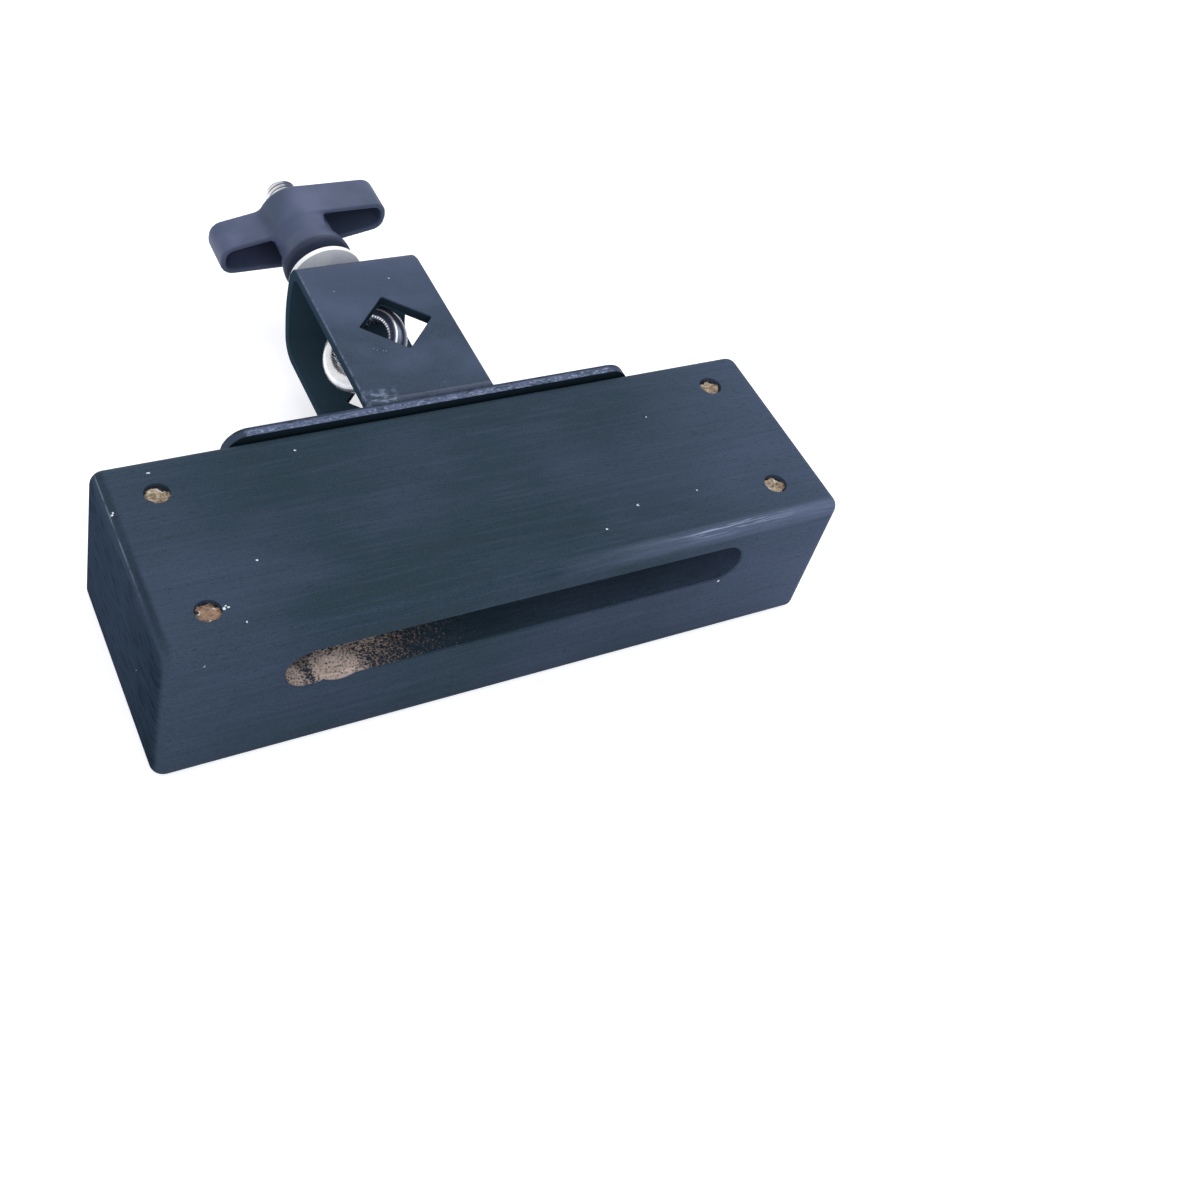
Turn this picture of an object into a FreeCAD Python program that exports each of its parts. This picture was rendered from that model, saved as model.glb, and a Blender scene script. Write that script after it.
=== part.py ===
import FreeCAD, Part
import math
import os

V = FreeCAD.Vector

# Frame, in mm: the origin is the centre of the block's underside, X runs along the block, Y to the back, Z up

# Block
block_length = 190.0
block_depth = 63.0
block_height = 45.0
edge_round_top = 3.5
edge_round_upright = 3.5
edge_round_bottom = 2.0
half_length = block_length / 2
half_depth = block_depth / 2

# How far a cutting tool runs past what it cuts
overrun = 1.0

# Slot in the front face: a milled channel whose left end was opened by two plunge cuts
slot_cutter_radius = 6.55
slot_below_top = 8.2
slot_left_margin = 30.2
slot_right_margin = 29.5
slot_run_in = 40.0
slot_rim_break = 0.4
slot_top = block_height - slot_below_top
slot_floor = slot_top - 2 * slot_cutter_radius
slot_mid = slot_top - slot_cutter_radius
slot_left = slot_left_margin - half_length
slot_right = half_length - slot_right_margin
plunge_cuts = [
    {"x": slot_left + 6.65, "z": slot_mid - 0.25, "radius": 6.65},
    {"x": slot_left + 14.6, "z": slot_mid - 1.15, "radius": 6.5},
]
channel_start = slot_left + 18.8

# Dowel plugs in the top face: how far each one's centre is from the block's end and from its side
plug_radius = 3.25
plug_depth = 18.0
plug_recess = 1.0
plug_glue_gap = 0.03
plug_margins = {
    "plug_front_left": (-1, 14.4, -1, 12.6),
    "plug_front_right": (1, 15.8, -1, 12.0),
    "plug_back_left": (-1, 13.7, 1, 12.4),
    "plug_back_right": (1, 14.6, 1, 11.4),
}

# Mounting plate on the back face, its lower edge level with the underside
plate_centre_x = -0.5
plate_length = 120.0
plate_stands_above = 0.9
plate_height = block_height + plate_stands_above
plate_thickness = 3.2
plate_corner_radius = 7.0
plate_edge_break = 0.35
plate_back = half_depth + plate_thickness

# Wood screws that hold the plate, their hidden shanks and holes cut with few sides
screw_sides = 16
screw_radius = 2.0
screw_in_wood = 12.0
screw_head_radius = 4.0
screw_head_height = 2.4
screw_slot_width = 0.9
screw_slot_half = 2.0
screw_slot_depth = 1.2
screw_hole_clearance = 0.35
screw_pilot_gap = 0.04
screw_from_plate_end = 12.0
screw_from_plate_edge = 10.5

# Strap bent into a U, welded to the plate
strap_left = -20.4
strap_right = 16.8
strap_thickness = 3.2
strap_below_plate_top = 0.3
strap_top = plate_height - strap_below_plate_top
top_bend_start = 89.1
top_bend_radius = 7.0
wall_straight = 5.1
wall_bow_radius = 42.0
wall_lean = 16.0
wall_lower_straight = 3.0
lower_bend_radius = 8.0
strap_edge_break = 0.4
strap_width = strap_right - strap_left
strap_mid_x = (strap_left + strap_right) / 2

# Diamond holes for the stand rod, one in each leg
diamond_x = -0.5
diamond_y = 64.8
diamond_half_diagonal = 11.2
diamond_corner_radius = 0.7

# Weld beads: a low seam over the upper leg's end and a corner bead under the lower leg
seam_height = 0.8
seam_on_plate = 0.5
seam_on_leg = 2.6
corner_bead_leg = 3.2
corner_bead_bulge = 0.4
weld_end_gap = 0.6

# Eyebolt, M10 thread cut over the whole shank
bolt_x = -5.4
bolt_below_strap_top = 15.2
bolt_z = strap_top - bolt_below_strap_top
thread_pitch = 1.5
shank_radius = 4.95
shank_end = 145.6
shank_end_chamfer = 0.9
wall_hole_clearance = 0.55
ring_centre_y = 70.9
ring_swing = -41.7
ring_bore_radius = 9.1
ring_outer_radius = 13.65
ring_thickness = 5.2
ring_outer_round = 2.3
ring_round_steps = 3
tooth_count = 60
tooth_depth = 0.5
neck_small_radius = 2.5
neck_start = 11.4
neck_end = 18.0

# Washer
washer_front = 102.8
washer_thickness = 1.6
washer_radius = 11.2
washer_bore_clearance = 0.35

# Thread insert: a hexagonal body with a round boss that stands proud of the hub and bears on the washer
insert_front = 104.5
insert_back = 128.0
insert_boss_radius = 6.0
insert_across_flats = 13.4
insert_shoulder_depth = 1.0
insert_running_clearance = 0.08
insert_corner_radius = insert_across_flats / math.sqrt(3)

# Wing nut moulded round the insert
hub_front = 108.7
hub_bore_clearance = 0.6
hub_wing_radius = 10.6
hub_outline = [
    (10.1, 108.7), (10.7, 109.4), (10.5, 111.6), (9.4, 116.6),
    (hub_wing_radius, 122.8), (hub_wing_radius, 134.6), (8.6, 136.6),
]
wing_front = 121.7
wing_back = 135.1
wing_tip_x = 25.8
wing_tip_low_z = 0.9
wing_root = (8.0, -2.9)
wing_tip_round = 4.4
wing_root_round = 3.0
wing_back_break = 0.5
pocket_wall = 1.7
pocket_floor_thickness = 2.0
pocket_start_x = 4.5
pocket_mouth = 115.0
pocket_hub_radius = 8.7

# Helpers


def extrude_profile(points, direction):
    wire = Part.makePolygon(points + [points[0]])
    return Part.Face(wire).extrude(direction)


def edges_where(shape, test):
    return [edge for edge in shape.Edges if test(edge)]


def all_vertices_at(edge, index, value, tolerance=0.01):
    return all(abs(vertex.Point[index] - value) < tolerance for vertex in edge.Vertexes)


def is_along(edge, index):
    if len(edge.Vertexes) < 2:
        return False
    first, second = edge.Vertexes[0].Point, edge.Vertexes[-1].Point
    others = [i for i in range(3) if i != index]
    straight = all(abs(first[i] - second[i]) < 0.01 for i in others)
    return straight and abs(first[index] - second[index]) > 0.5


def cylinder_along_y(radius, start_y, length, x, z):
    return Part.makeCylinder(radius, length, V(x, start_y, z), V(0, 1, 0))


def prism_along_y(sides, corner_radius, start_y, length, x, z):
    corners = []
    for i in range(sides):
        angle = 2 * math.pi * i / sides
        corners.append(V(x + corner_radius * math.cos(angle), start_y, z + corner_radius * math.sin(angle)))
    return extrude_profile(corners, V(0, length, 0))


def revolve_about_y(points, x, z):
    placed = [V(x + radius, y, z) for radius, y in points]
    wire = Part.makePolygon(placed + [placed[0]])
    return Part.Face(wire).revolve(V(x, 0, z), V(0, 1, 0), 360)


# Block


def make_slot():
    front = -half_depth - overrun
    length = slot_run_in + overrun
    height = 2 * slot_cutter_radius
    right_centre = slot_right - slot_cutter_radius
    straight = right_centre - channel_start
    channel = Part.makeBox(straight, length, height, V(channel_start, front, slot_floor))
    channel = channel.fuse(cylinder_along_y(slot_cutter_radius, front, length, right_centre, slot_mid))
    first = plunge_cuts[0]
    joining = channel_start - first["x"]
    upper = Part.makeBox(joining, length, slot_top - first["z"], V(first["x"], front, first["z"]))
    channel = channel.fuse(upper)
    for cut in plunge_cuts:
        channel = channel.fuse(cylinder_along_y(cut["radius"], front, length, cut["x"], cut["z"]))
    return channel.removeSplitter()


def make_block():
    block = Part.makeBox(block_length, block_depth, block_height, V(-half_length, -half_depth, 0))
    block = block.makeFillet(edge_round_upright, edges_where(block, lambda e: is_along(e, 2)))
    top_edges = edges_where(block, lambda e: all_vertices_at(e, 2, block_height))
    block = block.makeFillet(edge_round_top, top_edges)
    bottom_edges = edges_where(block, lambda e: all_vertices_at(e, 2, 0.0))
    block = block.makeFillet(edge_round_bottom, bottom_edges)
    block = block.cut(make_slot())

    def is_slot_rim(edge):
        box = edge.BoundBox
        inside = box.XMin > slot_left - overrun and box.XMax < slot_right + overrun
        return inside and all_vertices_at(edge, 1, -half_depth)

    block = block.makeChamfer(slot_rim_break, edges_where(block, is_slot_rim))
    for x, y in plug_spots().values():
        bottom = V(x, y, block_height - plug_depth)
        drilling = Part.makeCylinder(plug_radius + plug_glue_gap, plug_depth, bottom)
        block = block.cut(drilling)
    pilot_depth = screw_in_wood + screw_pilot_gap
    pilot_radius = screw_radius + screw_pilot_gap
    for x, z in screw_spots():
        pilot = prism_along_y(screw_sides, pilot_radius, half_depth - pilot_depth, pilot_depth, x, z)
        block = block.cut(pilot)
    return block


def plug_spots():
    spots = {}
    for name, (end, from_end, side, from_side) in plug_margins.items():
        spots[name] = (end * (half_length - from_end), side * (half_depth - from_side))
    return spots


def make_plug(x, y):
    return Part.makeCylinder(plug_radius, plug_depth - plug_recess, V(x, y, block_height - plug_depth))


# Plate and its screws


def screw_spots():
    reach = plate_length / 2 - screw_from_plate_end
    columns = [plate_centre_x - reach, plate_centre_x + reach]
    rows = [screw_from_plate_edge, plate_height - screw_from_plate_edge]
    return [(x, z) for x in columns for z in rows]


def make_plate():
    left = plate_centre_x - plate_length / 2
    plate = Part.makeBox(plate_length, plate_thickness, plate_height, V(left, half_depth, 0))
    plate = plate.makeFillet(plate_corner_radius, edges_where(plate, lambda e: is_along(e, 1)))
    rear_edges = edges_where(plate, lambda e: all_vertices_at(e, 1, plate_back))
    upper_edges = [edge for edge in rear_edges if edge.BoundBox.ZMax > block_height / 2]
    plate = plate.makeChamfer(plate_edge_break, upper_edges)
    radius = screw_radius + screw_hole_clearance
    start = half_depth - overrun
    for x, z in screw_spots():
        hole = prism_along_y(screw_sides, radius, start, plate_thickness + 2 * overrun, x, z)
        plate = plate.cut(hole)
    return plate


def make_screw(x, z):
    crown = plate_back + screw_head_height
    tip = half_depth - screw_in_wood
    head = cylinder_along_y(screw_head_radius, plate_back, screw_head_height, x, z)
    shank = prism_along_y(screw_sides, screw_radius, tip, crown - screw_head_height / 2 - tip, x, z)
    screw = head.fuse(shank)
    reach = 2 * screw_slot_half
    slot_bottom = crown - screw_slot_depth
    for turn in (0, 90):
        groove = Part.makeBox(reach, screw_slot_depth + overrun, screw_slot_width,
                              V(x - reach / 2, slot_bottom, z - screw_slot_width / 2))
        groove.rotate(V(x, 0, z), V(0, 1, 0), turn)
        screw = screw.cut(groove)
    return screw


# Strap


def strap_run(inset):
    # The outline of one face of the bar, from the plate round the three bends and back to the plate
    here = V(0, plate_back, strap_top - inset)
    heading = 0.0
    steps = [
        ("line", top_bend_start - plate_back),
        ("bend", top_bend_radius, 90.0),
        ("line", wall_straight),
        ("bend", wall_bow_radius, wall_lean),
        ("line", wall_lower_straight),
        ("bend", lower_bend_radius, 90.0 - wall_lean),
    ]
    edges = []
    for step in steps:
        forward = V(0, math.cos(heading), -math.sin(heading))
        if step[0] == "line":
            there = here + forward * step[1]
            edges.append(Part.LineSegment(here, there).toShape())
        else:
            radius = step[1] - inset
            turn = math.radians(step[2])
            centre = here + V(0, -math.sin(heading), -math.cos(heading)) * radius
            halfway = heading + turn / 2
            middle = centre + V(0, math.sin(halfway), math.cos(halfway)) * radius
            there = centre + V(0, math.sin(heading + turn), math.cos(heading + turn)) * radius
            edges.append(Part.Arc(here, middle, there).toShape())
            heading += turn
        here = there
    last = V(0, plate_back, here.z)
    edges.append(Part.LineSegment(here, last).toShape())
    return edges, V(0, plate_back, strap_top - inset), last


def make_strap():
    outer, outer_top, outer_low = strap_run(0.0)
    inner, inner_top, inner_low = strap_run(strap_thickness)
    closing = [
        Part.LineSegment(outer_low, inner_low).toShape(),
        Part.LineSegment(inner_top, outer_top).toShape(),
    ]
    wire = Part.Wire(Part.__sortEdges__(outer + inner + closing))
    strap = Part.Face(wire).extrude(V(strap_width, 0, 0))
    strap.translate(V(strap_left, 0, 0))
    side = diamond_half_diagonal * math.sqrt(2)
    lowest = strap_run(0.0)[2].z - overrun
    height = strap_top + overrun - lowest
    diamond = Part.makeBox(side, side, height, V(diamond_x - side / 2, diamond_y - side / 2, lowest))
    diamond = diamond.makeFillet(diamond_corner_radius, edges_where(diamond, lambda e: is_along(e, 2)))
    diamond.rotate(V(diamond_x, diamond_y, 0), V(0, 0, 1), 45)
    strap = strap.cut(diamond)
    hole_radius = shank_radius + wall_hole_clearance
    wall_back = top_bend_start + top_bend_radius
    hole_length = 4 * strap_thickness
    hole_start = wall_back - hole_length
    strap = strap.cut(cylinder_along_y(hole_radius, hole_start, hole_length + overrun, bolt_x, bolt_z))

    outer_wire = Part.Wire(outer)

    def is_outer_side(edge):
        if not (all_vertices_at(edge, 0, strap_left) or all_vertices_at(edge, 0, strap_right)):
            return False
        middle = edge.valueAt((edge.FirstParameter + edge.LastParameter) / 2)
        return outer_wire.distToShape(Part.Vertex(V(0, middle.y, middle.z)))[0] < 0.01

    return strap.makeChamfer(strap_edge_break, edges_where(strap, is_outer_side))


def bead_along_leg(corners, crown):
    # A bead whose section runs through the corners and closes in an arc over the crown
    placed = [V(strap_left + weld_end_gap, y, z) for y, z in corners]
    edges = [Part.LineSegment(first, second).toShape() for first, second in zip(placed, placed[1:])]
    edges.append(Part.Arc(placed[-1], V(placed[0].x, crown[0], crown[1]), placed[0]).toShape())
    return Part.Face(Part.Wire(edges)).extrude(V(strap_width - 2 * weld_end_gap, 0, 0))


def make_upper_weld():
    cut = plate_edge_break
    corners = [
        (plate_back - cut - seam_on_plate, plate_height),
        (plate_back - cut, plate_height),
        (plate_back, plate_height - cut),
        (plate_back, strap_top),
        (plate_back + seam_on_leg, strap_top),
    ]
    middle = (corners[0][0] + corners[-1][0]) / 2
    return bead_along_leg(corners, (middle, plate_height + seam_height))


def make_lower_weld():
    low = strap_run(0.0)[2].z
    reach = corner_bead_leg
    half = reach / 2 + corner_bead_bulge
    corners = [(plate_back, low - reach), (plate_back, low), (plate_back + reach, low)]
    return bead_along_leg(corners, (plate_back + half, low - half))


# Eyebolt


def make_ring():
    half = ring_thickness / 2
    middle = V(ring_outer_radius - ring_outer_round, 0, half - ring_outer_round)
    rim = []
    for step in range(ring_round_steps + 1):
        angle = math.radians(90.0 * step / ring_round_steps)
        rim.append(middle + V(math.sin(angle), 0, math.cos(angle)) * ring_outer_round)
    mirrored = [V(point.x, 0, -point.z) for point in reversed(rim)]
    section = [V(0, 0, half)] + rim + mirrored + [V(0, 0, -half)]
    blank = Part.Face(Part.makePolygon(section + [section[0]])).revolve(V(0, 0, 0), V(0, 0, 1), 360)
    teeth = []
    for i in range(tooth_count):
        root = 2 * math.pi * i / tooth_count
        crest = root + math.pi / tooth_count
        for angle, radius in ((root, ring_bore_radius + tooth_depth), (crest, ring_bore_radius)):
            teeth.append(V(radius * math.cos(angle), radius * math.sin(angle), -half - overrun))
    return blank.cut(extrude_profile(teeth, V(0, 0, ring_thickness + 2 * overrun)))


def make_eyebolt():
    ring = make_ring()
    ring.rotate(V(0, 0, 0), V(0, 1, 0), ring_swing)
    ring.translate(V(bolt_x, ring_centre_y, bolt_z))
    neck = Part.makeCone(neck_small_radius, shank_radius, neck_end - neck_start,
                         V(bolt_x, ring_centre_y + neck_start, bolt_z), V(0, 1, 0))
    shank_start = ring_centre_y + neck_end
    shank = cylinder_along_y(shank_radius, shank_start, shank_end - shank_start, bolt_x, bolt_z)
    tip = edges_where(shank, lambda e: all_vertices_at(e, 1, shank_end))
    shank = shank.makeChamfer(shank_end_chamfer, tip[:1])
    return ring.fuse([neck, shank]).removeSplitter()


# Washer, insert and wing nut


def make_washer():
    disc = cylinder_along_y(washer_radius, washer_front, washer_thickness, bolt_x, bolt_z)
    bore = shank_radius + washer_bore_clearance
    hole = cylinder_along_y(bore, washer_front - overrun, washer_thickness + 2 * overrun, bolt_x, bolt_z)
    return disc.cut(hole)


def insert_shape():
    shoulder = hub_front + insert_shoulder_depth
    boss = cylinder_along_y(insert_boss_radius, insert_front, shoulder - insert_front, bolt_x, bolt_z)
    body = prism_along_y(6, insert_corner_radius, shoulder, insert_back - shoulder, bolt_x, bolt_z)
    return boss.fuse(body)


def make_insert():
    bore = shank_radius + insert_running_clearance
    length = insert_back - insert_front + 2 * overrun
    return insert_shape().cut(cylinder_along_y(bore, insert_front - overrun, length, bolt_x, bolt_z))


def wing_prism(inset, start_x, front, back, tip_round):
    # Seen along the bolt, a wing has a straight side level with the hub's edge and a side that slopes
    root_x, root_z = wing_root
    slope = (wing_tip_low_z - root_z) / (wing_tip_x - root_x)
    lift = inset * math.sqrt(1 + slope * slope)
    tip = wing_tip_x - inset
    high = hub_wing_radius - inset

    def low(x):
        return root_z + slope * (x - root_x) + lift

    outline = [(start_x, low(start_x)), (tip, low(tip)), (tip, high), (start_x, high)]
    prism = extrude_profile([V(x, front, z) for x, z in outline], V(0, back - front, 0))
    tip_edges = edges_where(prism, lambda e: is_along(e, 1) and e.BoundBox.XMin > start_x + overrun)
    return prism.makeFillet(tip_round, tip_edges)


def make_wings():
    wings = cylinder_along_y(hub_wing_radius, wing_front, wing_back - wing_front, 0, 0)
    for side in (0, 180):
        wing = wing_prism(0.0, 0.0, wing_front, wing_back, wing_tip_round)
        wing.rotate(V(0, 0, 0), V(0, 1, 0), side)
        wings = wings.fuse(wing)
    wings = wings.removeSplitter()

    def is_root(edge):
        spot = edge.BoundBox.Center
        on_hub = abs(math.hypot(spot.x, spot.z) - hub_wing_radius) < 0.05
        return is_along(edge, 1) and on_hub and abs(spot.x) > hub_wing_radius / 2

    wings = wings.makeFillet(wing_root_round, edges_where(wings, is_root))
    return wings.makeChamfer(wing_back_break, edges_where(wings, lambda e: all_vertices_at(e, 1, wing_back)))


def make_wing_nut():
    last = hub_outline[-1][1]
    nut = revolve_about_y([(0.0, hub_front)] + hub_outline + [(0.0, last)], 0, 0).fuse(make_wings())
    core = cylinder_along_y(pocket_hub_radius, hub_front, last - hub_front, 0, 0)
    floor = wing_back - pocket_floor_thickness
    pocket_round = wing_tip_round - pocket_wall
    pocket = wing_prism(pocket_wall, pocket_start_x, pocket_mouth, floor, pocket_round).cut(core)
    for side in (0, 180):
        one = pocket.copy()
        one.rotate(V(0, 0, 0), V(0, 1, 0), side)
        nut = nut.cut(one)
    nut = nut.removeSplitter()
    nut.translate(V(bolt_x, 0, bolt_z))
    way_out = cylinder_along_y(shank_radius + hub_bore_clearance, insert_back, last - insert_back + overrun,
                               bolt_x, bolt_z)
    return nut.cut(insert_shape()).cut(way_out)


# Files, one for each node


def main():
    nodes = {
        "wood_block": make_block(),
        "mounting_plate": make_plate(),
        "clamp_strap": make_strap(),
        "weld_upper": make_upper_weld(),
        "weld_lower": make_lower_weld(),
        "eyebolt": make_eyebolt(),
        "washer": make_washer(),
        "thread_insert": make_insert(),
        "wing_nut": make_wing_nut(),
    }
    for name, spot in plug_spots().items():
        nodes[name] = make_plug(*spot)
    screw_names = ["screw_left_low", "screw_left_high", "screw_right_low", "screw_right_high"]
    for name, spot in zip(screw_names, screw_spots()):
        nodes[name] = make_screw(*spot)
    os.makedirs("parts", exist_ok=True)
    for name, shape in nodes.items():
        shape.exportStep("parts/" + name + ".step")
        print(name, "solids", len(shape.Solids), "valid", shape.isValid(), "volume", round(shape.Volume, 1))


main()
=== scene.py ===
import math

import bmesh
import bpy
from mathutils import Matrix, Vector, noise


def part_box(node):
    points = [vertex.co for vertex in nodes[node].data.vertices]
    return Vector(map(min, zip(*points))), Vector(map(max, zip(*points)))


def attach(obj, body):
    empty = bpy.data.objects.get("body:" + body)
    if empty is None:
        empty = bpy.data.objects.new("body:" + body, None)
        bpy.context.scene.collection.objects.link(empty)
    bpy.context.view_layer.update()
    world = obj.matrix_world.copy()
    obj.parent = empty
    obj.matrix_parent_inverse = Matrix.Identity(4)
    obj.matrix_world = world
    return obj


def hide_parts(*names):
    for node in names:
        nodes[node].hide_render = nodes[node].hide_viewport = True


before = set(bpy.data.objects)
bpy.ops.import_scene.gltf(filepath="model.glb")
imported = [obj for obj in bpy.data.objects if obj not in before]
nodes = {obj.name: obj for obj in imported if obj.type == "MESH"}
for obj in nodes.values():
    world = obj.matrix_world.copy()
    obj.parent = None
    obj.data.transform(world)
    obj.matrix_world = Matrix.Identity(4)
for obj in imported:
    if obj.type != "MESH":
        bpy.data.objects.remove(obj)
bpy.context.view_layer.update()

mm = 0.001
# coordinates closer than this, in metres, count as the same
sameWithin = 1e-5
# how much X and Z count beside Y when a mesh is put in order
rankWeights = (0.0131, 0.000173)
print("frame loaded:", len(nodes), "nodes")


# Node trees. Every length in the dictionaries below is in mm. A noise is given as how many waves fit in a
# metre along X, Y and Z, then its detail, roughness and shift. Two or four numbers are a ramp: where it
# starts and ends, and what it gives there if that isn't 0 and 1. Three are a band: its two ends, and how
# softly it fades past them.


def tone(red, green, blue):
    # a screen colour, 0 to 255, as the linear colour that the shader wants
    def linear(value):
        share = value / 255
        return share / 12.92 if share <= 0.04045 else ((share + 0.055) / 1.055) ** 2.4
    return (linear(red), linear(green), linear(blue), 1.0)


def put(tree, kind, inputs=None, **settings):
    made = tree.nodes.new(kind)
    for name, value in settings.items():
        setattr(made, name, value)
    for name, value in (inputs or {}).items():
        if isinstance(value, bpy.types.NodeSocket):
            tree.links.new(value, made.inputs[name])
        else:
            made.inputs[name].default_value = value
    return made


def startMaterial(name, finish):
    material = bpy.data.materials.new(name)
    material.use_nodes = True
    tree = material.node_tree
    shader = tree.nodes["Principled BSDF"]
    shader.inputs["Roughness"].default_value = finish["roughness"]
    shader.inputs["Metallic"].default_value = finish.get("metallic", 0.0)
    shader.inputs["Specular IOR Level"].default_value = finish.get("specular", 0.5)
    place = put(tree, "ShaderNodeTexCoord").outputs["Object"]
    return material, tree, shader, place


def finishMaterial(tree, shader, color, height, strength, depth):
    tree.links.new(color, shader.inputs["Base Color"])
    bump = put(tree, "ShaderNodeBump", {"Height": height, "Strength": strength, "Distance": depth * mm})
    tree.links.new(bump.outputs[0], shader.inputs["Normal"])


def axesOf(tree, place):
    return put(tree, "ShaderNodeSeparateXYZ", {"Vector": place}).outputs


def grainNoise(tree, place, waves, detail, roughness, shift=(0, 0, 0)):
    spread = put(tree, "ShaderNodeMapping", {"Vector": place, "Scale": waves, "Location": shift})
    made = put(tree, "ShaderNodeTexNoise",
               {"Vector": spread.outputs[0], "Scale": 1.0, "Detail": detail, "Roughness": roughness})
    return made.outputs["Fac"]


def noisesOf(tree, place, noises):
    return {name: grainNoise(tree, place, *settings) for name, settings in noises.items()}


def maths(tree, operation, first, second=0.0):
    return put(tree, "ShaderNodeMath", {0: first, 1: second}, operation=operation).outputs[0]


def times(tree, *factors):
    product = factors[0]
    for factor in factors[1:]:
        product = maths(tree, "MULTIPLY", product, factor)
    return product


def lengthOf(tree, across, along):
    squares = maths(tree, "ADD", times(tree, across, across), times(tree, along, along))
    return maths(tree, "SQRT", squares)


def distanceTo(tree, place, spot):
    return put(tree, "ShaderNodeVectorMath", {0: place, 1: spot}, operation="DISTANCE").outputs["Value"]


def ramp(tree, value, start, end, outStart=0.0, outEnd=1.0):
    ends = {"Value": value, "From Min": start, "From Max": end, "To Min": outStart, "To Max": outEnd}
    return put(tree, "ShaderNodeMapRange", ends, clamp=True).outputs[0]


def fade(tree, value, start, end, outStart=0.0, outEnd=1.0, origin=0.0):
    # a ramp over a length, which starts and ends so many mm from origin
    return ramp(tree, value, origin + start * mm, origin + end * mm, outStart, outEnd)


def between(tree, value, low, high, soft, origin=0.0):
    # 1 from low to high, fading to 0 over soft on both sides, in mm from origin
    rise = fade(tree, value, low - soft, low, origin=origin)
    fall = fade(tree, value, high + soft, high, origin=origin)
    return times(tree, rise, fall)


def over(tree, color, topTone, *shares):
    # topTone laid over color, as much as the product of the shares; a mix node takes colours at its
    # sockets 6 and 7 and gives the result at socket 2
    mix = {"Factor": times(tree, *shares), 6: color, 7: topTone}
    return put(tree, "ShaderNodeMix", mix, data_type="RGBA").outputs[2]


def dullWhere(tree, shader, mask, specular):
    tree.links.new(ramp(tree, mask, 0.0, 1.0, specular, 0.0), shader.inputs["Specular IOR Level"])


# white flecks and paint chips: each a ragged spot of X, Y, Z and radius

fleckShape = {
    "raggedness": 0.7,    # of the radius
    "noise": (0.3, 0.7),
}


def flecksOf(tree, place, fine, flecks):
    # how much of each point is covered by a fleck
    covered = 0.0
    for *spot, radius in flecks:
        away = distanceTo(tree, place, [value * mm for value in spot])
        ragged = fleckShape["raggedness"] * radius
        wobble = ramp(tree, fine, *fleckShape["noise"], -ragged * mm, ragged * mm)
        spread = fade(tree, maths(tree, "ADD", away, wobble), radius, ragged)
        covered = maths(tree, "MAXIMUM", covered, spread)
    return covered


# meshes and pieces


def boxOf(name):
    low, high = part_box(name)
    return Vector(low), Vector(high)


def addObject(name, data):
    made = bpy.data.objects.new(name, data)
    bpy.context.collection.objects.link(made)
    return made


def meshFrom(bm, name):
    mesh = bpy.data.meshes.new(name)
    bm.to_mesh(mesh)
    bm.free()
    return mesh


def dress(names, material):
    for name in names:
        if not nodes[name].material_slots:
            nodes[name].data.materials.append(material)
        for slot in nodes[name].material_slots:
            slot.material = material


def addPiece(name, bm, material, body, replaced, sharpFrom=40):
    # sharpFrom: edges that turn by more than this many degrees stay crisp
    for face in bm.faces:
        face.smooth = True
    mesh = meshFrom(bm, name)
    mesh.set_sharp_from_angle(angle=math.radians(sharpFrom))
    mesh.materials.append(material)
    piece = addObject(name, mesh)
    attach(piece, body)
    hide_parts(*replaced)


def nodeCopy(name, mergeWithin=1e-6):
    bm = bmesh.new()
    bm.from_mesh(nodes[name].data)
    bmesh.ops.remove_doubles(bm, verts=bm.verts, dist=mergeWithin)
    return bm


def closeOpenEnds(bm):
    openEdges = [edge for edge in bm.edges if len(edge.link_faces) == 1]
    bmesh.ops.holes_fill(bm, edges=openEdges, sides=0)
    bmesh.ops.recalc_face_normals(bm, faces=bm.faces)


def cutAlongY(bm, planeY, side):
    # side 1 takes off what lies behind the plane, side -1 what lies before it
    geometry = bm.verts[:] + bm.edges[:] + bm.faces[:]
    bmesh.ops.bisect_plane(bm, geom=geometry, plane_co=(0, planeY, 0), plane_no=(0, side, 0),
                           clear_outer=True)


def sortParts(bm):
    # cuts leave a mesh in an order that changes from run to run, so it gets a fixed one, front to back

    def rank(point):
        return point.y + rankWeights[0] * point.x + rankWeights[1] * point.z

    bm.verts.sort(key=lambda vert: rank(vert.co))
    bm.edges.sort(key=lambda edge: rank(edge.verts[0].co + edge.verts[1].co))
    bm.faces.sort(key=lambda face: rank(face.calc_center_median()))


# the block: stained black over open grain, bare inside one end of the slot

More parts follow.
